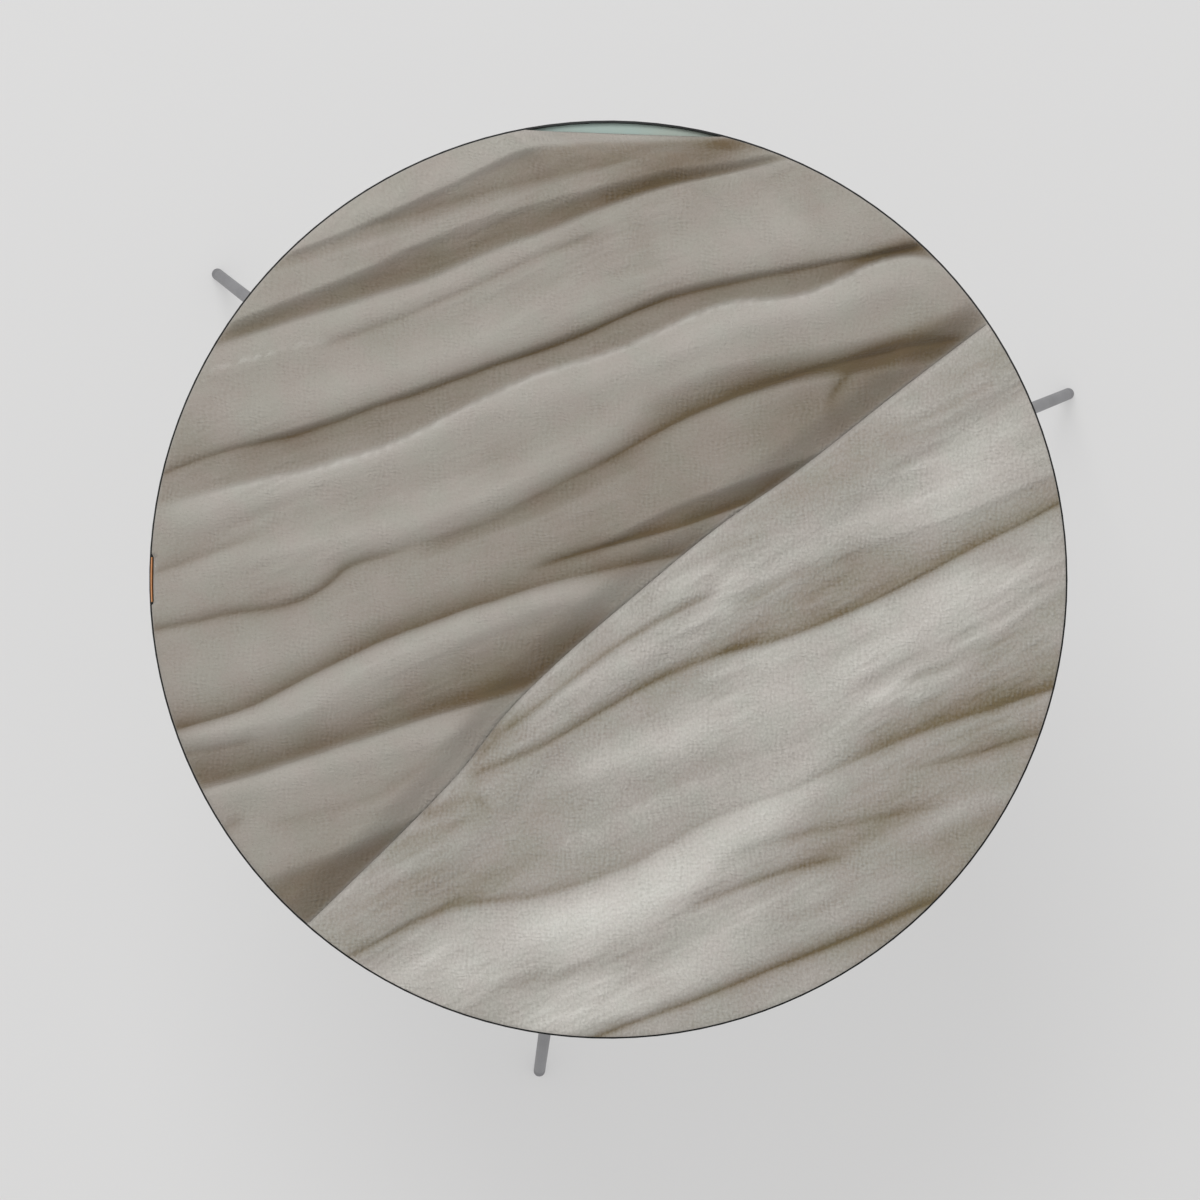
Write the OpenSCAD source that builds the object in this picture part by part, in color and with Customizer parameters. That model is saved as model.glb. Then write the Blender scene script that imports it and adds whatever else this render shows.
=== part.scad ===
// Round side table with a loose two-layer plush cloth laid inside its rim.
// Millimetres, +Z up. The origin is on the floor, on the axis of the round top.

/* [Table top] */
// Outer diameter of the black rim band
top_d = 495; // [420:5:560]
// Height of the laminate face above the floor
table_h = 457; // [380:1:560]
// Thickness of the wood core
core_t = 12; // [10:1:18]
// Thickness of each laminate
laminate_t = 0.8; // [0.6:0.1:1.2]
// Thickness of the rim band
rim_t = 1; // [0.8:0.1:2]
// How far the rim band stands above the laminate
rim_lip = 3; // [2:0.5:6]

/* [Legs] */
// Bearing of the first leg, anticlockwise from +X
leg_bearing = 22; // [0:1:119]
// Distance from the table's axis to the middle of a foot
foot_reach = 345; // [300:5:380]
// Distance from the table's axis to where a leg meets its plate
leg_reach = 200; // [150:5:205]
// Diameter of the steel rod
rod_d = 8; // [7:0.5:10]
// Length of the plastic foot along the leg
foot_l = 14; // [12:1:24]

/* [Leg fixings] */
// Length of the leg plate, along the radius
plate_l = 76; // [70:1:80]
// Width of the leg plate
plate_w = 46; // [42:1:60]
// Thickness of the leg plate
plate_t = 3; // [2:0.5:4]
// Outer diameter of the socket that holds the rod
socket_d = 14; // [14:1:16]
// Length of the socket along the leg
socket_l = 32; // [28:1:45]

/* [Cloth] */
// Gap between the cloth and the inside of the rim
cloth_gap = 0.5; // [0.4:0.1:2]
// Height of the folds of the under cloth
under_rise = 24; // [16:1:32]
// Height of the under cloth where the overlay presses it flat
pressed_rise = 6; // [4:1:10]
// Height of the overlay's top above the laminate
overlay_rise = 27; // [18:1:36]
// Direction that the overlay's long edge faces, anticlockwise from +X
overlay_bearing = 131.4; // [90:0.1:180]
// Distance from the table's axis to the middle of that edge
overlay_offset = 14.8; // [0:0.1:60]
// Radius of that gently bowed edge
overlay_edge_r = 1800; // [1000:100:4000]

/* [Hidden] */
LEGS = 3;

$fn = 96;
hair = 0.1;         // glue line or loose gap between fixed pieces
past = 1;           // how far a cutter runs past what it cuts

// Table top, from the laminate face down
rim_r = top_d / 2;
bed_r = rim_r - rim_t;
core_top = table_h - laminate_t;
core_bottom = core_top - core_t;
backing_bottom = core_bottom - laminate_t;
plate_bottom = backing_bottom - plate_t;

// Legs: each leans outwards in the plane of its own bearing
rod_r = rod_d / 2;
foot_flat_r = 2;    // wear face under the rounded foot
foot_z = sqrt(rod_r * rod_r - foot_flat_r * foot_flat_r);
lean = atan2(foot_reach - leg_reach, plate_bottom - foot_z);
leg_l = (plate_bottom - foot_z) / cos(lean);
rod_top = leg_l - (rod_r * sin(lean) + 3 * hair) / cos(lean);
spigot_r = 0.6 * rod_r;
socket_r = socket_d / 2;
socket_start = leg_l - socket_l;

// Fasteners: pan-head wood screws and a set screw
screw_r = 1.9;
screw_l = 12;
screw_head_r = 3.9;
screw_head_h = 2.4;
screw_hole_r = 2.1;
screw_dx = plate_l / 2 - 10;
screw_dy = plate_w / 2 - 9;
cross_l = 4.4;
cross_w = 1;
cross_deep = 1.3;
grub_r = 2;
grub_l = 4;
grub_key_r = 1.15;
grub_key_deep = 1.8;
grub_at = socket_start + 0.45 * socket_l;

// Cloth
cloth_r = bed_r - cloth_gap;
cloth_z = table_h + 2 * hair;
layer_gap = 0.3;
tab_t = 0.8;
tab_half_angle = 2.8;
tab_h = 8;

function bearing(i) = leg_bearing + (i - 1) * 360 / LEGS;

module disc(r, z, h) translate([0, 0, z]) cylinder(r = r, h = h, $fn = 192);

// A rectangular slab with round corners
module rounded_slab(l, w, t, r) {
    translate([-l / 2 + r, -w / 2, 0]) cube([l - 2 * r, w, t]);
    translate([-l / 2, -w / 2 + r, 0]) cube([l, w - 2 * r, t]);
    for (x = [-1, 1], y = [-1, 1])
        translate([x * (l / 2 - r), y * (w / 2 - r), 0]) cylinder(r = r, h = t);
}

// Children drawn with +X pointing outwards along one leg's bearing
module beside_leg(i) rotate([0, 0, bearing(i)]) children();

// Children drawn with +Z running up one leg from the middle of its foot
module along_leg(i)
    beside_leg(i) translate([foot_reach, 0, foot_z]) rotate([0, -lean, 0]) children();

// Children drawn at each of the four screws of one leg plate
module at_screws(i)
    beside_leg(i)
        for (x = [-1, 1], y = [-1, 1])
            translate([leg_reach + x * screw_dx, y * screw_dy, plate_bottom]) children();

module top_core() color("burlywood")
    difference() {
        disc(bed_r - hair, core_bottom, core_t);
        for (i = [1:LEGS])
            at_screws(i) cylinder(r = screw_r + hair / 2, h = screw_l + hair);
    }

module top_laminate() color("lightseagreen")
    disc(bed_r - hair, core_top, laminate_t);

module backing_laminate() color("dimgray")
    difference() {
        disc(bed_r - hair, backing_bottom, laminate_t);
        for (i = [1:LEGS])
            at_screws(i) cylinder(r = screw_r + hair, h = screw_l);
    }

module rim_band() color("black")
    difference() {
        disc(rim_r, backing_bottom, table_h + rim_lip - backing_bottom);
        disc(bed_r, backing_bottom - past, table_h);
    }

module leg(i) color("gray")
    along_leg(i) {
        translate([0, 0, foot_l]) cylinder(r = rod_r, h = rod_top - foot_l);
        translate([0, 0, rod_r]) cylinder(r = spigot_r, h = foot_l - rod_r + past);
    }

module foot(i) color("darkgray")
    difference() {
        along_leg(i) {
            sphere(r = rod_r);
            cylinder(r = rod_r, h = foot_l);
        }
        along_leg(i) translate([0, 0, rod_r - hair])
            cylinder(r = spigot_r + hair / 2, h = foot_l);
        beside_leg(i) translate([foot_reach - socket_d, -socket_d, -socket_d])
            cube([2 * socket_d, 2 * socket_d, socket_d]);
    }

module leg_plate(i) color("gray")
    difference() {
        beside_leg(i) translate([leg_reach, 0, plate_bottom])
            rounded_slab(plate_l, plate_w, plate_t, 8);
        at_screws(i) translate([0, 0, -past])
            cylinder(r = screw_hole_r, h = plate_t + 2 * past);
    }

module leg_socket(i) color("gray")
    difference() {
        along_leg(i) translate([0, 0, socket_start])
            cylinder(r = socket_r, h = socket_l + socket_d);
        along_leg(i) translate([0, 0, socket_start - past])
            cylinder(r = rod_r + hair / 2, h = socket_l + 2 * socket_d);
        along_leg(i) translate([0, 0, grub_at]) rotate([0, -90, 0])
            cylinder(r = grub_r, h = socket_d);
        beside_leg(i) translate([leg_reach - plate_l / 2, -plate_w / 2, plate_bottom])
            cube([plate_l, plate_w, 2 * socket_d]);
    }

module plate_screw() {
    difference() {
        rotate_extrude()
            polygon([
                [0, -screw_head_h], [screw_head_r - 1.2, -screw_head_h],
                [screw_head_r, -screw_head_h + 1.1], [screw_head_r, 0],
                [screw_r, 0], [screw_r, screw_l - 3], [0, screw_l]
            ]);
        for (turn = [0, 90])
            rotate([0, 0, turn])
                translate([-cross_l / 2, -cross_w / 2, -screw_head_h - past])
                    cube([cross_l, cross_w, cross_deep + past]);
    }
}

module plate_screws(i) color("silver") at_screws(i) plate_screw();

module grub_screw(i) color("dimgray")
    along_leg(i) translate([0, 0, grub_at]) rotate([0, -90, 0])
        translate([0, 0, rod_r + hair])
            difference() {
                cylinder(r = grub_r - hair / 2, h = grub_l);
                translate([0, 0, grub_l - grub_key_deep])
                    cylinder(r = grub_key_r, h = grub_key_deep + past, $fn = 6);
            }

// The overlay's reach beyond its long edge, grown by a gap
module overlay_side(grow, z, h)
    rotate([0, 0, overlay_bearing]) translate([-overlay_offset - overlay_edge_r, 0, z])
        cylinder(r = overlay_edge_r + grow, h = h, $fn = 360);

// A slice of ring against the inside of the rim, on the -X side
module tab_ring(inner, outer, z, h)
    rotate([0, 0, 180 - tab_half_angle]) translate([0, 0, z])
        rotate_extrude(angle = 2 * tab_half_angle)
            translate([inner, 0]) square([outer - inner, h]);

module under_cloth() color("tan")
    difference() {
        disc(cloth_r, cloth_z, under_rise - 2 * hair);
        overlay_side(layer_gap, table_h + pressed_rise, under_rise);
        tab_ring(cloth_r - tab_t - hair, rim_r, cloth_z - past, tab_h + 2 * past);
    }

module hem_tab() color("chocolate")
    tab_ring(cloth_r - tab_t, cloth_r, cloth_z, tab_h);

module overlay_cloth() color("wheat")
    intersection() {
        disc(cloth_r, table_h + pressed_rise + layer_gap,
             overlay_rise - pressed_rise - layer_gap);
        overlay_side(0, table_h, overlay_rise + past);
    }

top_core();
top_laminate();
backing_laminate();
rim_band();
for (i = [1:LEGS]) {
    leg(i);
    foot(i);
    leg_plate(i);
    leg_socket(i);
    plate_screws(i);
    grub_screw(i);
}
under_cloth();
hem_tab();
overlay_cloth();
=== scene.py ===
"""Looks for the round side table and its two-layer plush cloth.

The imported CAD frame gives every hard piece. This script adds the two cloths, the ribbon
tab, procedural materials, the stage, the lights and the camera. Lengths in the fold tables
are millimetres on the table top, with +X to the right and +Y away from the first camera.
"""

import math

import bpy
import numpy as np
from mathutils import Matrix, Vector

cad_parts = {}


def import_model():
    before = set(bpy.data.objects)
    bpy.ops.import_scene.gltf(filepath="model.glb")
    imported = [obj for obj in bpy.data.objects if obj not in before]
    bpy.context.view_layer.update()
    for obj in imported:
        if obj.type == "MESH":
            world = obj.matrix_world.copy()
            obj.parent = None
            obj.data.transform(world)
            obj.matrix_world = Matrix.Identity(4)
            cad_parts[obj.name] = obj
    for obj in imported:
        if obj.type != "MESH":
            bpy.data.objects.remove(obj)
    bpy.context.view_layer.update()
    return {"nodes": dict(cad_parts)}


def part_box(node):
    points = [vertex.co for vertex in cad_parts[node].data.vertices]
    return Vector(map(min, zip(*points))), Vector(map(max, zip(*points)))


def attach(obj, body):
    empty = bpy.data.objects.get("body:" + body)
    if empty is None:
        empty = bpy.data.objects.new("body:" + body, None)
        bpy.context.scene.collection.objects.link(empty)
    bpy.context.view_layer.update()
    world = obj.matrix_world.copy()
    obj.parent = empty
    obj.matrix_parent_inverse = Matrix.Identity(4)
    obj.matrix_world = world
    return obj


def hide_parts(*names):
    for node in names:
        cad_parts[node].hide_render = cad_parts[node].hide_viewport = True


MM = 0.001

# Camera: straight above the table's axis
CAMERA_HEIGHT = 2.031
LENS = 87.44
SHIFT_X = -0.0070
SHIFT_Y = -0.0170
# The floor reaches far enough that no low view shows its end close by
FLOOR_RADIUS = 60.0

# Directions of the two cloths' grid rows, and of the folds that run across them
UNDER_ROWS = math.radians(16)
OVERLAY_ROWS = math.radians(41.4)
UNDER_LIE = math.radians(21)
OVERLAY_LIE = math.radians(25)

# Cloth thickness, and the height of each cloth's unfolded surface above its lowest folds
CLOTH_THICKNESS = 1.5
UNDER_PLATEAU = 16.0
OVERLAY_PLATEAU = 9.0
# Radius of a crease's bottom
UNDER_CREASE_ROUND = 0.5
OVERLAY_CREASE_ROUND = 0.4
# How far a crisp fold leans over its crease, as a share of the crease's depth, and the share
# of the rim's radius past which no fold leans
LEAN = 0.12
UPRIGHT = 0.955
# Share of a fold's depth that is shape; painted shade in the cloth's colour shows all of it
CREASE_RELIEF = 0.46
TROUGH_RELIEF = 0.62
# How strongly grid columns crowd towards the rim, and how wide the cloth's tucked edge is
CROWDING = 0.42
TUCK = 6.0
# Width at the outline that counts as its very edge; the grid's end rows lie inside it
OUTLINE_BAND = 0.13
# How far the cloth would reach past the rim if the rim did not hold it in
SPILL = 1.5
# Height that the overlay presses the under cloth's folds to, and the droop of its own rim edge
PRESSED_HEIGHT = 3.9
EDGE_DROOP = 1.0
# Size of the noise lattice before it repeats
LATTICE = 64
# Clearance between cloth and rim, the cloth's reach at the hem tab, and the rim's thickness
RIM_GAP = 0.5
TAB_REACH = 245.1
RIM_WALL = 1.0
# The under cloth's straight back edge: its distance from the axis and its turn
SELVEDGE = 240.6
SELVEDGE_TURN = math.radians(2)
# The hem tab's half angle, and where the cloth beside it reaches the rim again
TAB_SIDE = math.radians(2.9)
TAB_CLEAR = math.radians(3.4)

# Where the overlay's long folded edge runs: its outward bearing and its distance from the axis
EDGE_BEARING = math.radians(131.4)
EDGE_OFFSET = 14.8
# That edge's underside above the laminate, how far its roll stands out, the depth of cloth
# turned under, and how many rows of points the roll and the turned cloth have
OVERLAY_LOW = 7.0
ROLL = 3.4
TURNED_UNDER = 28
ROLL_ROWS = 12
TURNED_ROWS = 14

# Creases: depth, softness of the north and south sides, fade at the west and east ends, and
# the points where the line bends. A size that changes along the line is pairs of x and size.
UNDER_CREASES = (
    # down from the hem roll
    (2.4, 3.5, 2.5, 20, 10, ((-140, 185), (-70, 206), (0, 222), (40, 230), (75, 229))),
    (3.2, 3.0, 2.6, 22, 26, ((-160, 122), (-110, 140), (-40, 171), (8, 189))),
    # the main valley
    (7.0, 5.0, 1.5, 0, 0, ((-260, 48), (-200, 70), (-170, 77), (-80, 108), (-10, 133),
                           (30, 150), (75, 160), (150, 175), (200, 187))),
    (4.0, 5.0, 2.0, 0, 34, ((-260, -3), (-215, 14), (-172, 28))),
    # the long crease below the roll
    (((-260, 6.5), (-170, 6.0), (-142, 7.5), (-124, 5.0), (-104, 2.4), (-60, 4.5), (10, 7.0),
      (200, 7.0)), 3.6, 2.2, 0, 30,
     ((-260, -31), (-215, -20), (-165, -11), (-150, -2), (-140, 6), (-115, 14), (-50, 39),
      (0, 65), (50, 91), (100, 109), (150, 123), (200, 131))),
    (5.0, 3.0, 3.4, 8, 8, ((114, 90), (122, 102), (132, 114), (157, 124))),
    # creases that run in under the overlay
    (7.0, 2.5, 1.5, 26, 0, ((-48, 3), (-20, 13), (35, 28), (100, 50))),
    (10.0, 12.0, 1.8, 0, 0, ((-260, -86), (-200, -70), (-115, -30), (-30, -1), (70, 20))),
    (3.0, 4.0, 1.8, 0, 20, ((-250, -96), (-210, -91), (-180, -84))),
    (6.0, 12.0, 1.8, 0, 0, ((-250, -120), (-200, -107), (-80, -69), (0, -50))),
    (2.2, 6.0, 6.0, 20, 20, ((-190, -134), (-115, -111), (-85, -88), (-58, -72))),
    (3.5, 4.0, 4.0, 8, 8, ((-218, -146), (-205, -134), (-192, -126))),
)
# Troughs: depth, softness of the two walls, fades, north edge, south edge
UNDER_TROUGHS = (
    (6.5, 2.6, 4.5, 0, 0,
     ((-200, 165), (-140, 186), (-85, 211), (-50, 228), (-15, 235), (75, 237)),
     ((-200, 156), (-110, 184), (0, 219), (40, 229), (75, 227))),
    (9.0, 4.2, ((-230, 2.6), (-20, 2.4), (50, 1.3)), 0, 0,
     ((-230, 127), (-140, 163), (-80, 189), (0, 212), (105, 232)),
     ((-230, 115), (-200, 127), (-110, 155), (0, 199), (40, 211), (105, 226))),
    # the floor of the main valley, north of the roll
    (((-260, 3.0), (-140, 5.5), (110, 6.5), (160, 9.0)), 3.4, 1.8, 0, 0,
     ((-260, 50), (-200, 72), (-170, 80), (-80, 111), (-10, 136), (30, 153), (75, 164),
      (150, 178), (200, 190)),
     ((-260, 31), (-200, 49), (-120, 70), (-50, 104), (10, 124), (60, 146), (105, 152),
      (145, 169), (165, 171), (220, 155))),
    (4.5, 2.0, 3.5, 30, 40,
     ((-112, 14), (-50, 39), (40, 85)),
     ((-112, 4), (-40, 31), (40, 70))),
    (6.5, 9.0, 3.2, 50, 0,
     ((0, 86), (36, 106), (125, 127), (200, 138)),
     ((0, 64), (66, 94), (200, 120))),
    (4.0, 7.0, 3.0, 50, 0,
     ((60, 93), (150, 124), (200, 134)),
     ((60, 20), (150, 86), (200, 110))),
    (6.0, 3.0, 1.6, 20, 0,
     ((-14, 15), (36, 40), (100, 64)),
     ((-14, 14), (36, 28), (100, 50))),
    (8.0, 15.0, 2.0, 0, 0,
     ((-240, -84), (-200, -79), (-145, -65), (-55, -21), (30, 0)),
     ((-240, -117), (-200, -107), (-80, -69), (30, -40))),
    (9.5, 6.5, 3.0, 0, 0,
     ((-200, -168), (-170, -153), (-140, -142), (-50, -100)),
     ((-200, -260), (-50, -200))),
)
# Painted highlights: pale fuzzy lines along fold crest lines, broken into tufts: amount,
# half-width, fades, points
UNDER_CREST_HIGHLIGHTS = (
    (0.42, 1.9, 90, 12, ((-227, 41), (-200, 49), (-120, 70), (-50, 104), (10, 124), (60, 146),
                         (105, 152), (145, 169), (157, 171))),
    (0.46, 1.5, 10, 10, ((-217, 110), (-204, 115), (-146, 128))),
    (0.14, 3.0, 20, 20, ((-214, 20), (-185, 31), (-95, 47), (-50, 66))),
    (0.12, 3.0, 10, 30, ((-217, -91), (-190, -84), (-115, -40), (-60, -18))),
)
# Soft ridges: height, half-width, points; each also paints a highlight along its crown
UNDER_RIDGES = (
    (3.5, 11, ((-250, 24), (-200, 44), (-115, 69), (-65, 91), (0, 110), (65, 137), (120, 149),
               (155, 160), (190, 152))),
    (3.0, 10, ((-250, -90), (-200, -80), (-115, -40), (-40, -12), (10, -1))),
    (2.5, 9, ((-250, -10), (-200, 11), (-135, 22), (-30, 62), (30, 96))),
    (2.0, 9, ((-230, 110), (-110, 147), (0, 190), (66, 208))),
    (2.0, 8, ((-240, -122), (-110, -88), (-53, -71))),
    (2.0, 14, ((-230, 80), (-140, 100), (20, 158), (90, 180), (150, 190))),
    (2.0, 9, ((-190, 172), (-95, 212), (-40, 236), (60, 241))),
)

# The overlay's folds, in the same forms
OVERLAY_CREASES = (
    (6.5, 3.5, 1.4, 10, 0, ((-78, -107), (-45, -93), (35, -49), (120, -21), (185, 12),
                            (250, 46))),
    (5.0, 2.6, 2.0, 8, 14, ((-80, -106), (-65, -88), (-45, -73), (5, -35), (64, -3))),
    (2.4, 3.0, 2.4, 10, 30, ((62, -21), (95, -2), (154, 25))),
    (((-140, 4.0), (-40, 4.0), (30, 2.6), (90, 2.4), (150, 5.0), (240, 6.5)), 5.0, 1.6, 0, 0,
     ((-150, -208), (-85, -175), (-35, -168), (5, -155), (60, -125), (95, -112), (160, -84),
      (250, -54))),
    (3.6, 3.5, 1.6, 30, 0, ((150, -105), (200, -91), (250, -76))),
    (2.6, 3.5, 2.0, 26, 26, ((55, -149), (125, -131), (190, -118))),
    (4.0, 3.5, 1.6, 20, 20, ((38, -177), (95, -156), (132, -146))),
    (6.0, 4.5, 1.6, 0, 0, ((-30, -254), (65, -217), (125, -193), (200, -160))),
    # a small hooked wrinkle near the edge
    (3.2, 2.5, 2.5, 10, 8, ((-104, -131), (-82, -119), (-69, -117), (-60, -124))),
)
OVERLAY_TROUGHS = (
    (3.0, 2.4, 2.0, 60, 0,
     ((30, -28), (65, -19), (125, 13), (185, 35), (250, 62)),
     ((30, -50), (120, -21), (185, 12), (250, 46))),
    (2.6, 6.0, 2.0, 30, 0,
     ((120, -72), (155, -62), (215, -38), (250, -26)),
     ((120, -101), (160, -84), (250, -54))),
)
OVERLAY_CREST_HIGHLIGHTS = (
    (0.08, 2.6, 20, 20, ((-60, -84), (-30, -68), (0, -44), (30, -30), (62, -14))),
    (0.08, 2.6, 20, 20, ((-40, -82), (-5, -62), (30, -44), (70, -32), (110, -20))),
    (0.14, 2.4, 20, 20, ((-40, -150), (20, -120), (60, -104), (100, -90), (140, -70))),
)
OVERLAY_RIDGES = (
    (3.2, 12, ((-40, -118), (45, -82), (115, -54), (185, -14), (250, 14))),
    (2.2, 15, ((-120, -207), (-80, -190), (-20, -181), (35, -160), (65, -140),
               (120, -118))),
    (1.4, 9, ((-60, -84), (-10, -52), (120, 18), (230, 70))),
    (2.0, 10, ((30, -58), (95, -40), (215, 14))),
    (2.0, 16, ((20, -206), (80, -184), (140, -160), (190, -130))),
)

# Broad painted shade (amount below zero) and painted highlight (above zero): middle, reach along
# and across the folds, amount
UNDER_PAINTED_SHADING_PATCHES = (
    (49, 70, 95, 30, -0.18),
    (160, 112, 50, 24, -0.24),
    (150, 176, 22, 4, -0.45),
    (164, 131, 24, 5, -0.35),
    (192, 138, 16, 7, -0.30),
    (-192, 133, 24, 6, -0.20),
    (20, 178, 7, 14, -0.15),
    (111, 196, 8, 13, -0.20),
    (66, 191, 24, 12, 0.10),
    (-10, 26, 60, 26, -0.16),
    (24, 213, 60, 15, -0.22),
    (44, 226, 52, 11, -0.36),
    (-16, -36, 22, 15, -0.28),
    (-60, -60, 26, 8, -0.22),
    (-152, -152, 44, 10, -0.26),
    (-230, 76, 34, 12, -0.10),
    (-170, -38, 60, 12, 0.12),
    (-140, 66, 70, 9, 0.14),
    (-60, 125, 70, 14, 0.06),
    (52, 124, 40, 12, 0.14),
    (100, 186, 40, 14, 0.10),
    (-190, -75, 60, 40, 0.13),
    (-60, 225, 40, 14, 0.16),
)
OVERLAY_PAINTED_SHADING_PATCHES = (
    (-60, -205, 50, 14, 0.24),
    (-10, -190, 50, 26, 0.27),
    (44, -150, 50, 20, 0.24),
    (96, -112, 40, 14, 0.26),
    (146, -66, 44, 13, 0.22),
    (196, -26, 36, 16, 0.24),
    (70, 2, 36, 14, 0.30),
    (176, 38, 46, 22, 0.26),
    (210, 74, 30, 16, 0.24),
    (-110, -208, 40, 18, 0.30),
    (0, -226, 76, 18, 0.34),
    (-92, -150, 60, 34, -0.12),
    (0, -98, 46, 14, -0.10),
    (120, 62, 40, 14, -0.14),
    (150, -150, 90, 42, -0.28),
    (206, -72, 30, 20, -0.18),
    (175, 4, 30, 8, -0.10),
)

# The overlay's long edge: distance along it, and how far it is set back from its chord
EDGE_SETBACK = ((-260, 18), (-155, 12.5), (-125, 9.5), (-90, 3), (-50, 0.5), (10, 1),
                (65, 3), (115, 8.5), (185, 12.5), (260, 18))


def camera_first():
    """The camera over the table's axis, framed as the object is seen from above."""
    data = bpy.data.cameras.new("camera")
    data.lens = LENS
    data.sensor_width = 36.0
    data.shift_x = SHIFT_X
    data.shift_y = SHIFT_Y
    camera = bpy.data.objects.new("camera", data)
    camera.location = (0.0, 0.0, CAMERA_HEIGHT)
    bpy.context.collection.objects.link(camera)
    bpy.context.scene.camera = camera


# ---------------------------------------------------------------- small maths helpers


def smooth(edge0, edge1, value):
    """Smoothstep from 0 at edge0 to 1 at edge1."""
    t = np.clip((value - edge0) / (edge1 - edge0), 0.0, 1.0)
    return t * t * (3.0 - 2.0 * t)


def soft_floor(height):
    """Heights kept above zero, with a round turn where they would pass below it."""
    return 0.5 * (height + np.sqrt(height**2 + 0.6))


def curve_height(points, x):
    """A smooth curve y(x) through points ordered by x, and its slope."""
    px = np.array([p[0] for p in points], float)
    py = np.array([p[1] for p in points], float)
    secant = np.diff(py) / np.diff(px)
    tangent = np.concatenate([[secant[0]], (secant[:-1] + secant[1:]) / 2, [secant[-1]]])
    inside = np.clip(x, px[0], px[-1])
    cell = np.clip(np.searchsorted(px, inside, side="right") - 1, 0, len(px) - 2)
    width = px[cell + 1] - px[cell]
    t = (inside - px[cell]) / width
    h00 = 2 * t**3 - 3 * t**2 + 1
    h10 = t**3 - 2 * t**2 + t
    h01 = -2 * t**3 + 3 * t**2
    h11 = t**3 - t**2
    y = (h00 * py[cell] + h10 * width * tangent[cell]
         + h01 * py[cell + 1] + h11 * width * tangent[cell + 1])
    slope = tangent[cell] + (tangent[cell + 1] - tangent[cell]) * t
    return y + slope * (x - inside), slope


def cloud(x, y, seed, size):
    """Smooth repeatable noise of about unit height: random values on a lattice, joined."""
    values = np.random.default_rng(seed).standard_normal((LATTICE, LATTICE))
    column = np.floor(x / size).astype(int)
    row = np.floor(y / size).astype(int)
    across = smooth(0, 1, x / size - column)
    up = smooth(0, 1, y / size - row)
    column, row = column % LATTICE, row % LATTICE
    beyond, above = (column + 1) % LATTICE, (row + 1) % LATTICE
    low = values[row, column] * (1 - across) + values[row, beyond] * across
    high = values[above, column] * (1 - across) + values[above, beyond] * across
    return 1.3 * (low * (1 - up) + high * up)


def along_line(sizes, x):
    """A fold's size at each x: one number, or pairs of x and size."""
    if isinstance(sizes, (int, float)):
        return np.full_like(x, float(sizes))
    return np.interp(x, [p[0] for p in sizes], [p[1] for p in sizes])


def faded(size, points, west, east, x):
    """A size faded out towards the ends of a line that stops on the cloth."""
    if west:
        size = size * smooth(points[0][0], points[0][0] + west, x)
    if east:
        size = size * (1 - smooth(points[-1][0] - east, points[-1][0], x))
    return size


def south_of(points, x, y, seed):
    """Distance south of a line, with the small wander that soft cloth has."""
    line, slope = curve_height(points, x)
    line = line + 0.35 * cloud(x, y, seed, 32) + 0.08 * cloud(x, y, seed + 400, 12)
    cosine = 1 / np.sqrt(1 + slope**2)
    return (line - y) * cosine, np.stack([-slope * cosine, cosine])


def rounded_step(t):
    """From 0 at a fold's lip to 1 on the floor beside it, round at the lip."""
    return 1 - np.exp(-np.maximum(t, 0) ** 1.5)


def painted_shading_patches(table, x, y, tilt):
    """Broad soft painted shade and painted highlight: middle, reach along and across the folds,
    amount.
    """
    c, s = math.cos(tilt), math.sin(tilt)
    total = np.zeros_like(x)
    for middle_x, middle_y, along, across, amount in table:
        u = ((x - middle_x) * c + (y - middle_y) * s) / along
        v = (-(x - middle_x) * s + (y - middle_y) * c) / across
        total += amount * np.exp(-(u**2) - v**2)
    return total


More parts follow.
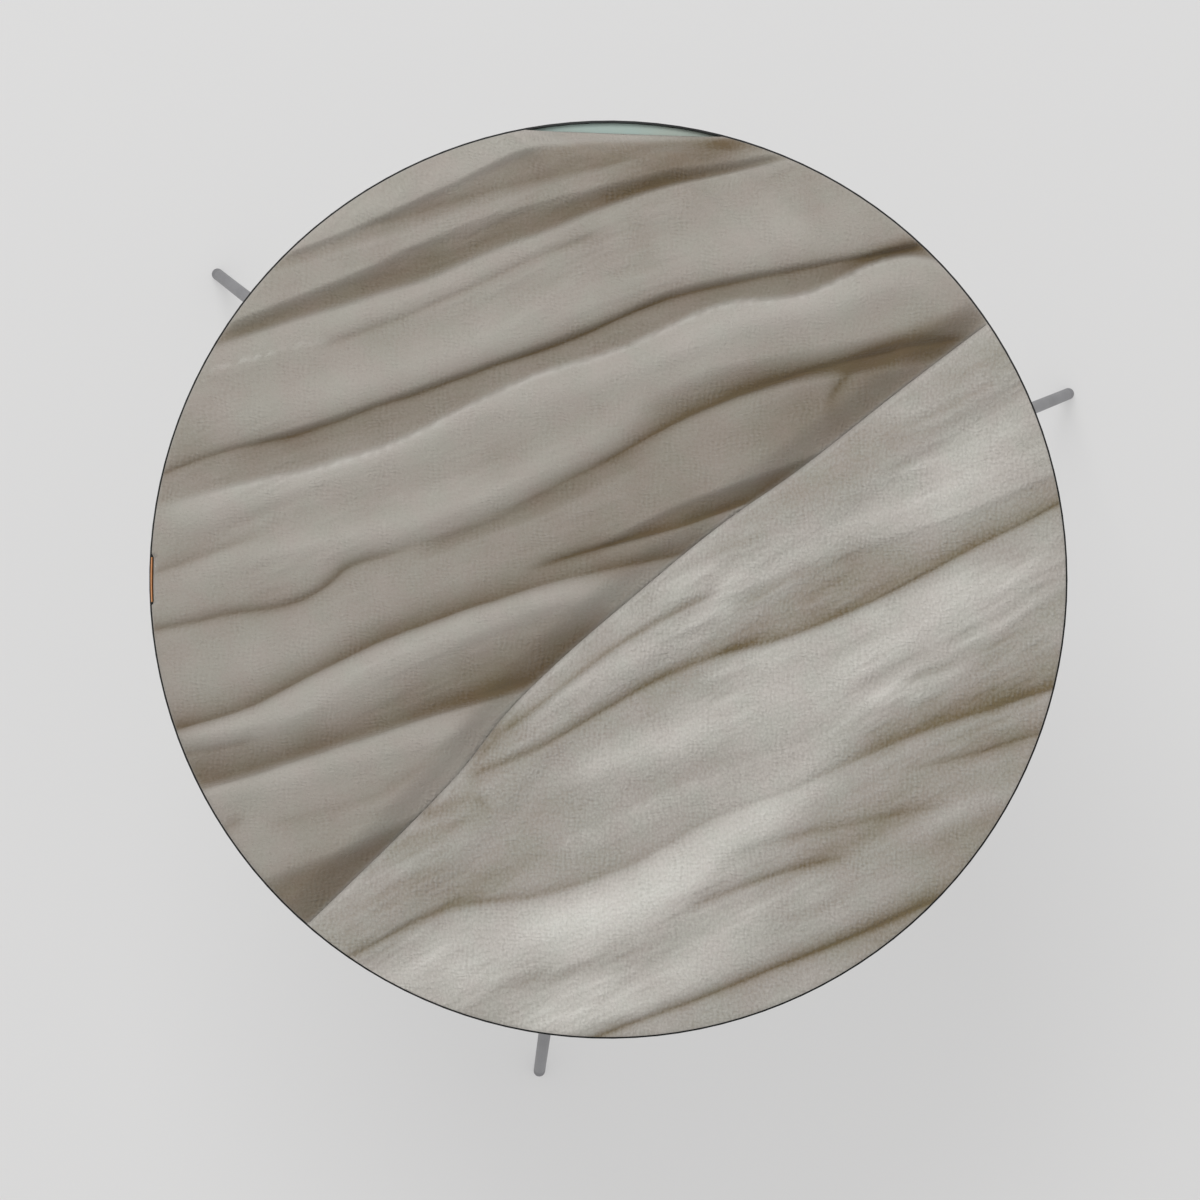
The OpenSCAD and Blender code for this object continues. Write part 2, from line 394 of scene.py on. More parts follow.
def fold_field(creases, troughs, ridges, x, y, plateau, crease_round):
    """Height, sideways lean and painted shade of the cloth at each point, from the fold tables.
    """
    height = np.full_like(x, float(plateau))
    lean = np.zeros((2,) + x.shape)
    shade = np.zeros_like(x)
    floor = np.zeros_like(x)
    for index, (depth, north, south, west, east, points) in enumerate(creases):
        away, turn = south_of(points, x, y, 40 + index)
        size = faded(along_line(depth, x), points, west, east, x)
        size = size * (1 + 0.12 * cloud(x, y, 120 + index, 90))
        toward = 1.0 if south < north else -1.0
        away = away - LEAN * 0.4 * size * toward
        beside = np.hypot(away, crease_round) - crease_round
        softness = np.where(away > 0, south, north)
        height -= CREASE_RELIEF * size * np.exp(-beside / softness)
        # painted shade along the crease, darkest at its bottom
        shade += size * np.exp(-beside / (1.4 + 0.6 * softness))
        past = np.maximum(away * toward, 0) / min(north, south)
        lip = past * np.exp(1 - past)
        lean += CREASE_RELIEF * LEAN * size * lip * toward * turn
        # painted highlight on the crease's lip
        shade -= 0.10 * size * lip
    for index, (depth, north, south, west, east, upper, lower) in enumerate(troughs):
        below, up = south_of(upper, x, y, 60 + index)
        above, low = south_of(lower, x, y, 80 + index)
        size = faded(along_line(depth, x), upper, west, east, x)
        size = size * (1 + 0.10 * cloud(x, y, 160 + index, 90))
        north_wall = along_line(north, x)
        south_wall = along_line(south, x)
        above = above - LEAN * 0.3 * size * (south_wall < 3)
        below = below + LEAN * 0.3 * size * (north_wall < 3)
        within = rounded_step(below / north_wall) * rounded_step(-above / south_wall)
        drop = size * within
        floor = np.maximum(floor, within * np.clip(size / 5, 0, 1))
        height -= TROUGH_RELIEF * drop
        # painted shade over the trough's floor
        shade += 0.7 * drop
        for past, wall, turn in ((above, south_wall, low), (-below, north_wall, -up)):
            past = np.maximum(past, 0) / 1.8
            lip = past * np.exp(1 - past) * np.clip(3 - wall, 0, 1)
            lean += TROUGH_RELIEF * LEAN * size * lip * turn
            # painted highlight on the trough's lip
            shade -= 0.20 * size * lip
    for index, (rise, half, points) in enumerate(ridges):
        away, _ = south_of(points, x, y, 100 + index)
        size = faded(np.full_like(x, float(rise)), points, 40, 40, x)
        size = size * (1 + 0.20 * cloud(x, y, 200 + index, 80))
        crown = size * np.exp(-((away / half) ** 2)) * (1 - 0.75 * floor)
        height += crown
        # painted highlight along the ridge's crown
        shade -= crown
    return height, lean, shade


def crest_highlights(table, x, y, seed):
    """Painted highlights: pale lines along the folds' crest lines, broken up along their length.
    """
    total = np.zeros_like(x)
    for index, (amount, half, west, east, points) in enumerate(table):
        away, _ = south_of(points, x, y, seed + index)
        tufts = smooth(-1.6, 1.2, cloud(x, y, seed + 40 + index, 2.2) + cloud(x, y, seed, 30))
        total += faded(amount, points, west, east, x) * np.exp(-((away / half) ** 2)) * tufts
    return total


def fine_wrinkles(x, y, seed, tilt):
    """Low wrinkles and pile streaks of unit size, longer along the folds than across them."""
    c, s = math.cos(tilt), math.sin(tilt)
    along = x * c + y * s
    across = -x * s + y * c + 2.5 * cloud(x, y, seed, 90)
    broad = cloud(along, across * 5, seed + 1, 60)
    narrow = cloud(along, across * 7, seed + 2, 34)
    threads = cloud(along, across * 8, seed + 3, 16)
    patchy = smooth(-0.8, 1.2, cloud(x, y, seed + 4, 55))
    return 0.55 * broad + (0.5 * narrow + 0.4 * threads) * patchy


# ---------------------------------------------------------------- sheets as grids


def grid_normals(points):
    """Unit normals of a grid of points, rows by columns, pointing up on a flat sheet."""
    down = np.gradient(points, axis=0)
    along = np.gradient(points, axis=1)
    normal = np.cross(down, along)
    return normal / np.maximum(np.linalg.norm(normal, axis=2, keepdims=True), 1e-12)


def sheet_mesh(name, top, thickness, attributes, rim):
    """A cloth of real thickness from the grid of its upper face, closed along its edges."""
    rows, columns = top.shape[:2]
    top = keep_inside(top, rim)
    below = keep_inside(top - grid_normals(top) * thickness[..., None], rim)
    count = rows * columns
    index = np.arange(count).reshape(rows, columns)
    a, b = index[:-1, :-1], index[:-1, 1:]
    c, d = index[1:, 1:], index[1:, :-1]
    upper = np.stack([d, c, b, a], axis=-1).reshape(-1, 4)
    lower = np.stack([a, b, c, d], axis=-1).reshape(-1, 4) + count
    ring = np.concatenate([index[0, :-1], index[:-1, -1], index[-1, :0:-1], index[:0:-1, 0]])
    following = np.roll(ring, -1)
    wall = np.stack([ring, following, following + count, ring + count], axis=-1)
    faces = np.concatenate([upper, lower, wall])
    vertices = np.concatenate([top.reshape(-1, 3), below.reshape(-1, 3)]) * MM
    mesh = bpy.data.meshes.new(name)
    mesh.from_pydata(vertices.tolist(), [], faces.tolist())
    for key, values in attributes.items():
        kind = "FLOAT_VECTOR" if values.ndim == 3 else "FLOAT"
        field = "vector" if values.ndim == 3 else "value"
        doubled = np.concatenate([values.reshape(count, -1)] * 2)
        mesh.attributes.new(key, kind, "POINT").data.foreach_set(field, doubled.ravel())
    mesh.polygons.foreach_set("use_smooth", np.ones(len(faces), bool))
    mesh.validate()
    mesh.update()
    piece = bpy.data.objects.new(name, mesh)
    bpy.context.collection.objects.link(piece)
    return piece


def taken_up(points, axis):
    """Length that the folds take up along a grid's rows or columns, from the middle out."""
    step = np.diff(points, axis=axis)
    extra = np.linalg.norm(step, axis=2) - np.linalg.norm(step[..., :2], axis=2)
    total = np.insert(np.cumsum(extra, axis=axis), 0, 0.0, axis=axis)
    return total - np.take(total, [total.shape[axis] // 2], axis=axis)


def flat_coordinates(points, tilt):
    """Coordinates on the flat cloth: the place seen from above and what the folds take up."""
    u = taken_up(points, 1)
    v = taken_up(points, 0)
    c, s = math.cos(tilt), math.sin(tilt)
    x = points[..., 0] + u * c + v * s
    y = points[..., 1] + u * s - v * c
    return np.stack([x, y, np.zeros_like(x)], axis=-1)


def keep_inside(points, rim):
    """Points kept off the rim, and off its top as the first camera sees it."""
    rim_top, rim_inner = rim
    eye = CAMERA_HEIGHT / MM
    seen = (rim_inner + 0.05) * (eye - points[..., 2]) / (eye - rim_top)
    limit = np.minimum(seen, rim_inner - RIM_GAP)
    reach = np.hypot(points[..., 0], points[..., 1])
    scale = np.minimum(1.0, limit / np.maximum(reach, 1e-6))
    return points * np.stack([scale, scale, np.ones_like(scale)], axis=-1)


def tucked(inset):
    """From 1 on the cloth to 0 at its outline, as a round shoulder, by distance from the rim."""
    t = np.clip(1 - (inset - OUTLINE_BAND) / TUCK, 0, 1)
    return np.sqrt(1 - t**2)


def disc_rows(rows, columns, start, tilt):
    """Rows of points across a unit disc from -1 or a chord at start to the far side."""
    even = np.linspace(start, 1, rows)
    across = np.clip(0.8 * even + 0.2 * np.sin(even * math.pi / 2), -0.9995, 0.9995)
    if start > -1:
        across[0] = start
    half = np.sqrt(1 - across**2)
    along = np.linspace(-1, 1, columns)
    along = along * (1 + CROWDING * (1 - along**2)) * half[:, None]
    across = np.repeat(across[:, None], columns, axis=1)
    c, s = math.cos(tilt), math.sin(tilt)
    return along * c + across * s, along * s - across * c


def edge_distance(x, y):
    """Distance past the overlay's long edge, positive on the overlay's side."""
    nx, ny = -math.cos(EDGE_BEARING), -math.sin(EDGE_BEARING)
    along = x * -ny + y * nx
    setback, _ = curve_height(EDGE_SETBACK, along)
    return x * nx + y * ny - EDGE_OFFSET - setback


def make_under_cloth(bed, rim):
    """The gathered under cloth, flat where the overlay presses it."""
    rim_inner = rim[1]
    x, y = disc_rows(520, 180, -1, UNDER_ROWS)
    inset = 1 - np.hypot(x, y)
    angle = np.arctan2(y, x)
    outline = rim_inner + SPILL
    selvedge = SELVEDGE / np.maximum(np.sin(angle + SELVEDGE_TURN), 1e-3)
    reach = np.where(np.sin(angle) > 0.5, np.minimum(outline, selvedge), outline)
    beside_tab = smooth(TAB_SIDE, TAB_CLEAR, np.abs(np.abs(angle) - math.pi))
    reach = TAB_REACH + (reach - TAB_REACH) * beside_tab
    x, y = x * reach, y * reach
    height, lean, shade = fold_field(UNDER_CREASES, UNDER_TROUGHS, UNDER_RIDGES,
                                     x, y, UNDER_PLATEAU, UNDER_CREASE_ROUND)
    wrinkles = fine_wrinkles(x, y, 7, UNDER_LIE)
    height += 0.30 * wrinkles
    height = soft_floor(height + 0.6)
    # lower towards the overlay's edge, then pressed flat beyond it
    covered = edge_distance(x, y)
    press = smooth(-0.1, 1.7, covered)
    height *= 1 - 0.52 * smooth(-18, -2, covered)
    height += (0.88 * (PRESSED_HEIGHT - height) + 0.4 * wrinkles) * press
    # the painted fold shade fades where the overlay presses the cloth flat
    shade *= 1 - 0.7 * press
    # thin along the stretch of back edge that lies free of the rim
    free_edge = 1 - smooth(30, 60, np.abs(x - 8))
    height *= 1 - 0.8 * smooth(226, 239, y) * free_edge
    height *= 1 - (1 - tucked(inset * reach)) * (1 - 0.85 * press)
    z = bed + 1.9 + height
    gentle = (1 - press) * (1 - smooth(UPRIGHT, 1.0, np.hypot(x, y) / rim_inner))
    x, y = x + lean[0] * gentle, y + lean[1] * gentle
    points = np.stack([x, y, z], axis=-1)
    thickness = np.minimum(CLOTH_THICKNESS, z - bed - 0.25)
    # painted shading: shade in folds, highlights on lips and crowns, broad painted shade and
    # highlight, and the wrinkles' shade painted in
    painted_shading = 1 - shade / 11.5 + painted_shading_patches(UNDER_PAINTED_SHADING_PATCHES, x, y, UNDER_LIE) + 0.04 * wrinkles
    # painted highlights along crest lines, and painted light along the overlay's edge that lifts
    # its contact shadow
    painted_shading += crest_highlights(UNDER_CREST_HIGHLIGHTS, x, y, 300) + 0.5 * np.exp(-((covered / 1.3) ** 2))
    attributes = {"flat": flat_coordinates(points, UNDER_ROWS), "painted_shading": painted_shading}
    return sheet_mesh("under_cloth_plush", points, thickness, attributes, rim)


def turned_edge(first, nx, ny, bottom):
    """Rows of points from the turned-under cloth round the roll to the overlay's first row."""
    rows = []
    drop = (first[:, 2] - bottom) / 2
    for turn in np.linspace(0, math.pi, ROLL_ROWS + 2)[1:-1]:
        row = first.copy()
        row[:, 0] -= nx * ROLL * math.sin(turn)
        row[:, 1] -= ny * ROLL * math.sin(turn)
        row[:, 2] = bottom + drop * (1 + math.cos(turn))
        rows.append(row)
    for step in np.linspace(0, TURNED_UNDER, TURNED_ROWS):
        row = first.copy()
        row[:, 0] += nx * step
        row[:, 1] += ny * step
        row[:, 2] = bottom
        rows.append(row)
    return np.stack(rows[::-1])


def make_overlay(bed, rim):
    """The overlay: a turned-under flap, a rolled edge and a gently folded top."""
    rim_inner = rim[1]
    outline = rim_inner + SPILL
    x, y = disc_rows(330, 200, EDGE_OFFSET / outline, OVERLAY_ROWS)
    inset = (1 - np.hypot(x, y)) * outline
    x, y = x * outline, y * outline
    # slide the rows so that the first one follows the edge
    nx, ny = -math.cos(EDGE_BEARING), -math.sin(EDGE_BEARING)
    chord = x * nx + y * ny - EDGE_OFFSET
    setback = chord - edge_distance(x, y)
    shift = (setback + ROLL) * (1 - smooth(0, 120, chord))
    x, y = x + nx * shift, y + ny * shift
    past = edge_distance(x, y)
    height, lean, shade = fold_field(OVERLAY_CREASES, OVERLAY_TROUGHS, OVERLAY_RIDGES,
                                     x, y, OVERLAY_PLATEAU, OVERLAY_CREASE_ROUND)
    wrinkles = fine_wrinkles(x, y, 23, OVERLAY_LIE)
    height += 0.45 * wrinkles
    height = soft_floor(height + 0.6)
    flap = 1 - smooth(26, 40, past)
    height = height * (1 - 0.60 * (1 - smooth(2, 16, past))) + 3.0 * flap
    edge = smooth(UPRIGHT, 1.0, np.hypot(x, y) / rim_inner)
    height *= tucked(inset)
    low = bed + OVERLAY_LOW
    z = low + 1.5 + height - EDGE_DROOP * (1 - tucked(inset))
    gentle = smooth(3, 12, past) * (1 - edge)
    x, y = x + lean[0] * gentle, y + lean[1] * gentle
    top = np.stack([x, y, z], axis=-1)
    under = turned_edge(top[0], nx, ny, low + 0.1)
    points = np.concatenate([under, top])
    thickness = np.full(points.shape[:2], CLOTH_THICKNESS)
    # broad painted shade and highlight on the overlay; it also sets how strongly the wrinkles'
    # painted shade shows
    painted_patch_shading = painted_shading_patches(OVERLAY_PAINTED_SHADING_PATCHES, x, y, OVERLAY_LIE)
    # painted shading: shade in folds, highlights on lips and crowns, broad painted shade and
    # highlight, and the wrinkles' shade painted in
    painted_shading = 1 - shade / 7.8 + painted_patch_shading + (0.11 + 0.22 * np.abs(painted_patch_shading)) * wrinkles
    # painted highlights along the overlay's crest lines
    painted_shading += crest_highlights(OVERLAY_CREST_HIGHLIGHTS, x, y, 350)
    # the roll and the turned-under rows take the first row's shading, lifted by painted light
    # against the shade under the roll
    painted_shading = np.concatenate([np.repeat(painted_shading[:1] + 0.10, len(under), axis=0), painted_shading])
    attributes = {"flat": flat_coordinates(points, OVERLAY_ROWS), "painted_shading": painted_shading}
    return sheet_mesh("overlay_plush", points, thickness, attributes, rim)


# ---------------------------------------------------------------- materials


class Nodes:
    """A short way to add and join shader nodes."""

    def __init__(self, name):
        self.material = bpy.data.materials.new(name)
        self.material.use_nodes = True
        self.tree = self.material.node_tree
        self.shader = self.tree.nodes["Principled BSDF"]

    def add(self, kind, inputs=None, **settings):
        """A node with its settings and inputs; an input may be a socket or a value."""
        node = self.tree.nodes.new(kind)
        for key, value in settings.items():
            setattr(node, key, value)
        for key, value in (inputs or {}).items():
            self.put(value, node.inputs[key])
        return node

    def put(self, value, socket):
        """Joins an output socket to an input, or sets the input's value."""
        if isinstance(value, bpy.types.NodeSocket):
            self.tree.links.new(value, socket)
        else:
            socket.default_value = value

    def maths(self, operation, a, b=0.0, c=0.0):
        """The result socket of a Math node."""
        node = self.add("ShaderNodeMath", {0: a, 1: b, 2: c}, operation=operation)
        return node.outputs[0]

    def mix(self, factor, a, b, blend="MIX"):
        """The colour socket of a Mix node."""
        node = self.add("ShaderNodeMix", data_type="RGBA", blend_type=blend)
        self.put(factor, node.inputs[0])
        self.put(a, node.inputs[6])
        self.put(b, node.inputs[7])
        return node.outputs[2]

    def noise(self, vector, scale, detail=3.0, roughness=0.55):
        """The value socket of a Noise node."""
        node = self.add("ShaderNodeTexNoise", {"Vector": vector, "Scale": scale,
                                               "Detail": detail, "Roughness": roughness})
        return node.outputs[0]

    def combed(self, vector, turn, share):
        """A vector turned about Z and then squeezed along its first axis."""
        turned = self.add("ShaderNodeMapping", {"Vector": vector, "Rotation": (0, 0, turn)})
        squeezed = self.add("ShaderNodeMapping", {"Vector": turned.outputs[0],
                                                  "Scale": (share, 1.0, 1.0)})
        return squeezed.outputs[0]

    def ramp(self, value, low, high):
        """A value remapped from low..high to 0..1, clamped."""
        node = self.add("ShaderNodeMapRange", {0: value, 1: low, 2: high, 3: 0.0, 4: 1.0})
        return node.outputs[0]

    def bump(self, height, distance, strength):
        """The normal socket of a Bump node."""
        inputs = {"Height": height, "Distance": distance, "Strength": strength}
        return self.add("ShaderNodeBump", inputs).outputs[0]


def plush_material(name, light, mid, dark, lie, knit, streaks, tuft):
    """Short plush pile on a ribbed knit; its colour carries painted shade, darker and warmer,
    down in its folds and painted highlights on its ridges.
    """
    n = Nodes(name)
    flat = n.add("ShaderNodeAttribute", attribute_name="flat").outputs["Vector"]
    # the painted shade and highlight worked out from the cloth's folds
    painted_shading = n.add("ShaderNodeAttribute", attribute_name="painted_shading").outputs["Fac"]
    drift = n.noise(flat, 0.03, 2.0)
    fuzz = n.noise(flat, 1.6, 3.0, 0.7)
    speck = n.noise(flat, 0.65, 4.0, 0.75)
    streak = n.noise(n.combed(flat, -lie, 0.2), 0.26, 3.0, 0.65)
    tufts = pile_tufts(n, flat, lie)
    rib = knit_ribs(n, flat)
    level = painted_shading
    for field, amount in ((drift, 0.30), (speck, 0.50), (streak, streaks), (rib, knit),
                          (tufts, tuft)):
        level = n.maths("MULTIPLY_ADD", n.maths("SUBTRACT", field, 0.5), amount, level)
    # darkest colour for painted shade in the folds, mid on the flat, lightest for painted
    # highlights
    shade = n.mix(n.ramp(level, 0.15, 1.0), dark, mid)
    shade = n.mix(n.ramp(level, 1.0, 1.8), shade, light)
    cast = n.ramp(n.noise(flat, 0.045, 3.0), 0.38, 0.64)
    shade = n.mix(cast, n.mix(0.07, shade, (1.0, 0.72, 0.58, 1), "SOFT_LIGHT"),
                  n.mix(0.09, shade, (0.70, 0.86, 0.62, 1), "SOFT_LIGHT"))
    n.put(shade, n.shader.inputs["Base Color"])
    n.put(n.maths("MULTIPLY_ADD", fuzz, 0.16, 0.78), n.shader.inputs["Roughness"])
    n.shader.inputs["Sheen Weight"].default_value = 0.25
    n.shader.inputs["Sheen Roughness"].default_value = 0.45
    n.shader.inputs["Sheen Tint"].default_value = (1.0, 0.98, 0.95, 1.0)
    n.shader.inputs["Specular IOR Level"].default_value = 0.15
    pile = n.maths("MULTIPLY_ADD", rib, 0.5, n.maths("MULTIPLY", speck, 1.6))
    pile = n.maths("MULTIPLY_ADD", fuzz, 0.9, pile)
    pile = n.maths("MULTIPLY_ADD", tufts, 6 * tuft, pile)
    pile = n.maths("MULTIPLY_ADD", streak, 2.5 * streaks, pile)
    n.put(n.bump(pile, 0.0006, 0.9), n.shader.inputs["Normal"])
    return n.material


def pile_tufts(n, flat, lie):
    """Small round tufts of pile, about a millimetre apart, leaning a little across the folds."""
    leaning = n.combed(flat, -lie - 1.1, 0.7)
    stray = n.add("ShaderNodeTexNoise", {"Vector": leaning, "Scale": 0.5, "Detail": 2.0})
    moved = n.add("ShaderNodeVectorMath", {0: stray.outputs[1], 1: leaning}, operation="ADD")
    cells = n.add("ShaderNodeTexVoronoi", {"Vector": moved.outputs[0], "Scale": 0.62,
                                           "Randomness": 0.85})
    return n.ramp(cells.outputs[0], 0.75, 0.10)


def knit_ribs(n, flat):
    """Knit columns and courses, bent by the drape and worn away in places."""
    warp = n.maths("MULTIPLY", n.noise(flat, 0.06, 2.0), 9.0)
    parts = n.add("ShaderNodeSeparateXYZ", {0: flat})
    u = n.maths("ADD", parts.outputs[0], warp)
    v = n.maths("ADD", parts.outputs[1], warp)
    wale = n.maths("SINE", n.maths("MULTIPLY", u, 2 * math.pi / 2.9))
    course = n.maths("SINE", n.maths("MULTIPLY", v, 2 * math.pi / 2.2))
    seen = n.ramp(n.noise(flat, 0.07, 2.0), 0.40, 0.66)
    ribs = n.maths("MULTIPLY_ADD", course, 0.35, n.maths("MULTIPLY", wale, 0.5))
    return n.maths("MULTIPLY_ADD", ribs, seen, 0.5)


def coated_material(name, base, roughness, grain_scale, grain, specular=0.5):
    """Paint, powder coat or plastic with a faint grain, worn a little lighter in spots."""
    n = Nodes(name)
    place = n.add("ShaderNodeTexCoord").outputs["Object"]
    broad = n.noise(place, 26.0, 4.0)
    fine = n.noise(place, grain_scale, 2.0)
    lighter = tuple(min(1.0, c * 1.25 + 0.01) for c in base[:3]) + (1.0,)
    n.put(n.mix(n.ramp(broad, 0.35, 0.75), base, lighter), n.shader.inputs["Base Color"])
    rough = n.maths("ADD", n.maths("MULTIPLY", fine, 0.14), roughness - 0.07)
    n.put(rough, n.shader.inputs["Roughness"])
    n.shader.inputs["Specular IOR Level"].default_value = specular
    n.put(n.bump(fine, grain, 0.6), n.shader.inputs["Normal"])
    return n.material


def metal_material(name, base, roughness):
    """Plated or blackened steel with fine turning marks."""
    n = Nodes(name)
    place = n.add("ShaderNodeTexCoord").outputs["Object"]
    fine = n.noise(place, 1800.0, 2.0)
    broad = n.noise(place, 120.0, 3.0)
    darker = tuple(c * 0.7 for c in base[:3]) + (1.0,)
    n.put(n.mix(broad, darker, base), n.shader.inputs["Base Color"])
    n.shader.inputs["Metallic"].default_value = 1.0
    n.put(n.maths("ADD", n.maths("MULTIPLY", broad, 0.2), roughness - 0.1),
          n.shader.inputs["Roughness"])
    n.put(n.bump(fine, 0.00005, 0.5), n.shader.inputs["Normal"])
    return n.material


def wood_material():
    """Edge and faces of the plywood core: long grain in thin plies."""
    n = Nodes("wood_core_ply")
    place = n.add("ShaderNodeTexCoord").outputs["Object"]
    stretched = n.add("ShaderNodeMapping", {"Vector": place, "Scale": (4.0, 60.0, 900.0)})
    grain = n.noise(stretched.outputs[0], 3.0, 5.0)
    shade = n.mix(grain, (0.42, 0.27, 0.14, 1), (0.68, 0.51, 0.33, 1))
    n.put(shade, n.shader.inputs["Base Color"])
    n.put(n.maths("ADD", n.maths("MULTIPLY", grain, 0.2), 0.55), n.shader.inputs["Roughness"])
    n.put(n.bump(grain, 0.0002, 0.5), n.shader.inputs["Normal"])
    return n.material


def laminate_material(name, low, high):
    """Laminate with a faint cloudy print and a fine matt texture."""
    n = Nodes(name)
    place = n.add("ShaderNodeTexCoord").outputs["Object"]
    print_tone = n.noise(place, 14.0, 4.0)
    fine = n.noise(place, 1500.0, 2.0)
    n.put(n.mix(n.ramp(print_tone, 0.3, 0.7), low, high), n.shader.inputs["Base Color"])
    n.put(n.maths("ADD", n.maths("MULTIPLY", fine, 0.12), 0.42), n.shader.inputs["Roughness"])
    n.put(n.bump(fine, 0.00004, 0.6), n.shader.inputs["Normal"])
    return n.material


def ribbon_material():
    """A woven tan ribbon with ribs across it."""
    n = Nodes("tab_ribbon_weave")
    place = n.add("ShaderNodeTexCoord").outputs["Object"]
    parts = n.add("ShaderNodeSeparateXYZ", {0: place})
    warp = n.maths("SINE", n.maths("MULTIPLY", parts.outputs[1], 2 * math.pi / 0.0007))
    weft = n.maths("SINE", n.maths("MULTIPLY", parts.outputs[2], 2 * math.pi / 0.0009))
    weave = n.maths("MULTIPLY", warp, weft)
    shade = n.mix(n.ramp(weave, -1.0, 1.0), (0.50, 0.20, 0.07, 1), (0.75, 0.36, 0.15, 1))
    n.put(shade, n.shader.inputs["Base Color"])
    n.put(n.maths("ADD", n.maths("MULTIPLY", weave, 0.08), 0.7), n.shader.inputs["Roughness"])
    n.put(n.bump(weave, 0.0001, 0.8), n.shader.inputs["Normal"])
    return n.material


# ---------------------------------------------------------------- stage


def floor_material():
    """A pale seamless floor that fills in most of its own shadow."""
    n = Nodes("stage_pale")
    n.shader.inputs["Base Color"].default_value = (0.34, 0.34, 0.34, 1)
    n.shader.inputs["Roughness"].default_value = 0.9
    n.shader.inputs["Specular IOR Level"].default_value = 0.0
    n.shader.inputs["Emission Color"].default_value = (1, 1, 1, 1)
    n.shader.inputs["Emission Strength"].default_value = 0.36
    return n.material


def make_stage():
    """The pale floor and the soft studio light."""
    bpy.ops.mesh.primitive_circle_add(vertices=96, radius=FLOOR_RADIUS, fill_type="NGON",
                                      location=(0, 0, -0.0004))
    floor = bpy.context.object
    floor.name = "floor"
    floor.data.materials.append(floor_material())
    world = bpy.data.worlds.new("studio")
    bpy.context.scene.world = world
    world.use_nodes = True
    background = world.node_tree.nodes["Background"]
    background.inputs["Color"].default_value = (1.0, 0.99, 0.985, 1)
    background.inputs["Strength"].default_value = 0.80
    add_area("key", (-0.35, 1.2, 2.4), 1.0, 22.0)
    bpy.context.scene.view_settings.view_transform = "Standard"


def add_area(name, place, size, power):
    """A square soft light aimed at the middle of the table top."""
    data = bpy.data.lights.new(name, "AREA")
    data.size = size
    data.energy = power
    lamp = bpy.data.objects.new(name, data)
    lamp.location = place
    aim = np.array((0.0, 0.0, 0.46)) - np.array(place)
    flat_reach = math.hypot(aim[0], aim[1])
    lamp.rotation_euler = (math.atan2(flat_reach, -aim[2]), 0.0,
                           math.atan2(aim[1], aim[0]) - math.pi / 2)
    bpy.context.collection.objects.link(lamp)


def make_tab(box, thickness=0.8 * MM):
    """The ribbon tab against the inside of the rim, folded double over its top edge."""
    low, high = box
    radius = -low[0]
    half = math.asin(high[1] / radius)
    inner = radius - thickness
    profile = ((inner, low[2]), (inner, high[2] - 0.3 * MM), (inner + 0.25 * MM, high[2]),
               (radius - 0.25 * MM, high[2]), (radius, high[2] - 0.3 * MM), (radius, low[2]))
    steps = 25
    vertices = []
    for i in range(steps):
        angle = math.pi - half + 2 * half * i / (steps - 1)
        for r, z in profile:
            vertices.append((r * math.cos(angle), r * math.sin(angle), z))
    n = len(profile)
    faces = [tuple(range(n - 1, -1, -1)), tuple(range((steps - 1) * n, steps * n))]
    for i in range(steps - 1):
        for j in range(n):
            k = (j + 1) % n
            faces.append((i * n + j, i * n + k, (i + 1) * n + k, (i + 1) * n + j))
    mesh = bpy.data.meshes.new("hem_ribbon_tab")
    mesh.from_pydata(vertices, [], faces)
    mesh.update()
    piece = bpy.data.objects.new("hem_ribbon_tab", mesh)
    bpy.context.collection.objects.link(piece)
    return piece


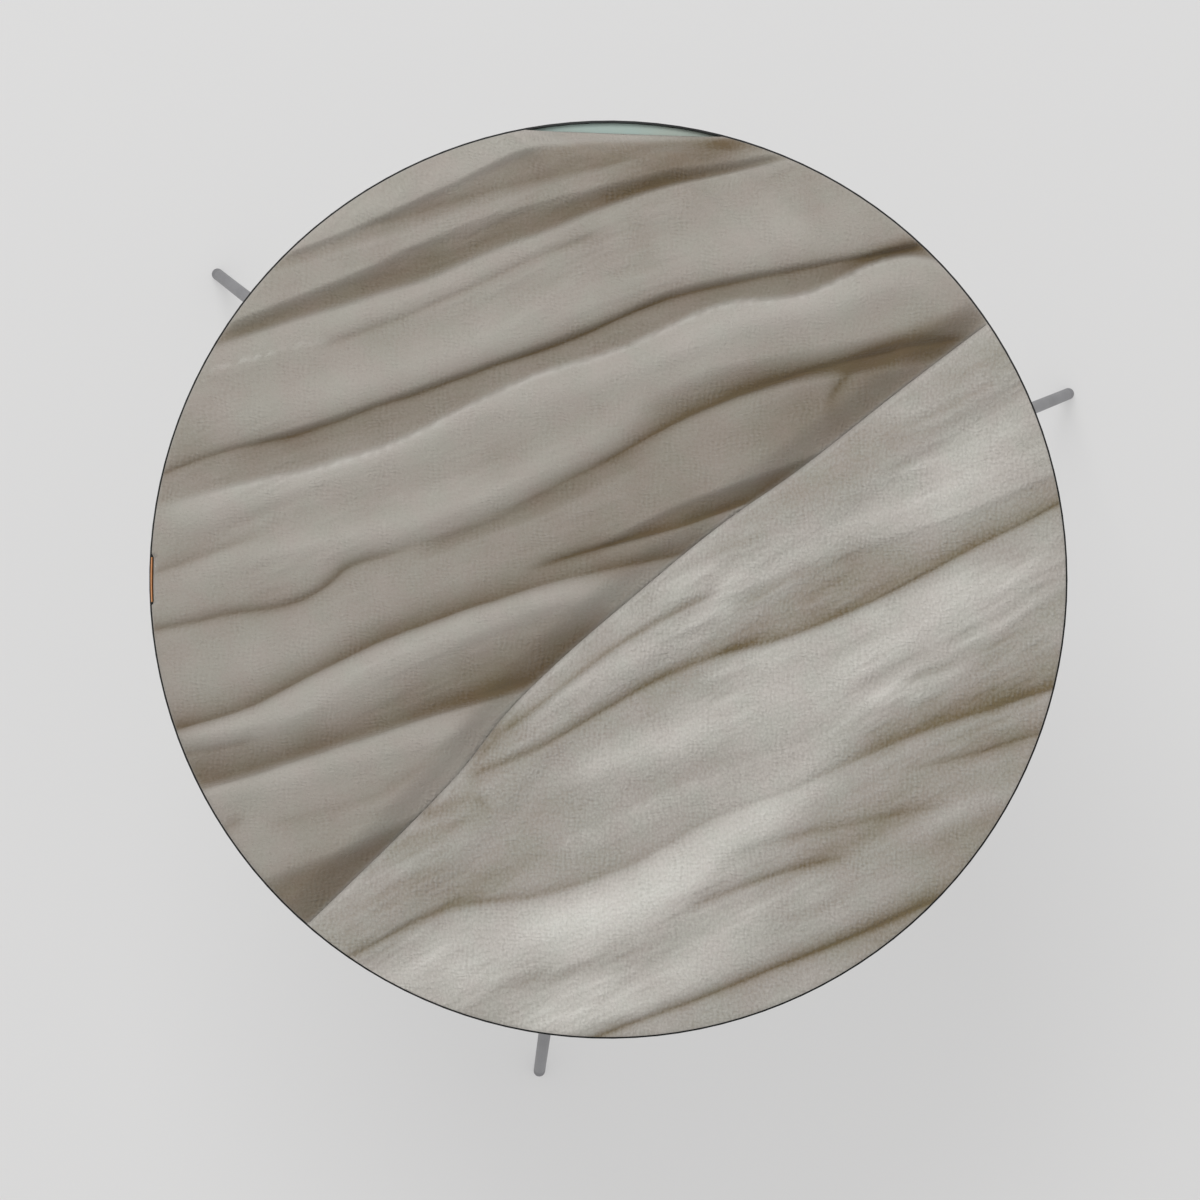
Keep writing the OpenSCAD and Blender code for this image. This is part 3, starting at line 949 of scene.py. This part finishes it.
def dress_nodes(nodes):
    """Gives each hard CAD piece the material of its kind."""
    grey = coated_material("leg_powder_coat", (0.15, 0.15, 0.16, 1), 0.42, 2600.0, 0.00006)
    foot = coated_material("foot_plastic", (0.14, 0.14, 0.15, 1), 0.5, 1500.0, 0.00005)
    black = coated_material("rim_satin_black", (0.010, 0.011, 0.011, 1), 0.5, 2200.0, 0.00004,
                            specular=0.2)
    kinds = {
        "top_core": wood_material(),
        "top_laminate": laminate_material("top_laminate_pale", (0.35, 0.37, 0.31, 1),
                                          (0.31, 0.41, 0.38, 1)),
        "backing_laminate": laminate_material("backing_laminate_grey", (0.16, 0.16, 0.155, 1),
                                              (0.20, 0.20, 0.195, 1)),
        "rim_band": black,
        "leg_plate": grey,
        "leg_socket": grey,
        "leg": grey,
        "foot": foot,
        "plate_screws": metal_material("screw_zinc", (0.62, 0.62, 0.60, 1), 0.35),
        "grub_screw": metal_material("screw_black_oxide", (0.06, 0.06, 0.06, 1), 0.4),
    }
    for name, node in nodes.items():
        kind = name.rstrip("0123456789").rstrip("_")
        if kind in kinds:
            node.data.materials.clear()
            node.data.materials.append(kinds[kind])


def main():
    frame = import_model()
    camera_first()
    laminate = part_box("top_laminate")
    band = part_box("rim_band")
    bed = laminate[1][2] / MM
    rim = (band[1][2] / MM, band[1][0] / MM - RIM_WALL)

    under = make_under_cloth(bed, rim)
    # each cloth's darkest colour is its painted fold shade, its lightest its painted highlight
    under.data.materials.append(plush_material(
        "plush_under", (0.48, 0.463, 0.433, 1), (0.327, 0.303, 0.273, 1),
        (0.130, 0.096, 0.056, 1), UNDER_LIE, knit=0.09, streaks=0.10, tuft=0.03))
    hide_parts("under_cloth")
    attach(under, "under_cloth")

    overlay = make_overlay(bed, rim)
    overlay.data.materials.append(plush_material(
        "plush_overlay", (0.67, 0.655, 0.62, 1), (0.381, 0.362, 0.335, 1),
        (0.165, 0.128, 0.074, 1), OVERLAY_LIE, knit=0.12, streaks=0.26, tuft=0.16))
    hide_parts("overlay_cloth")
    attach(overlay, "overlay")

    tab = make_tab(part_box("hem_tab"))
    tab.data.materials.append(ribbon_material())
    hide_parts("hem_tab")
    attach(tab, "under_cloth")

    dress_nodes(frame["nodes"])
    make_stage()


main()
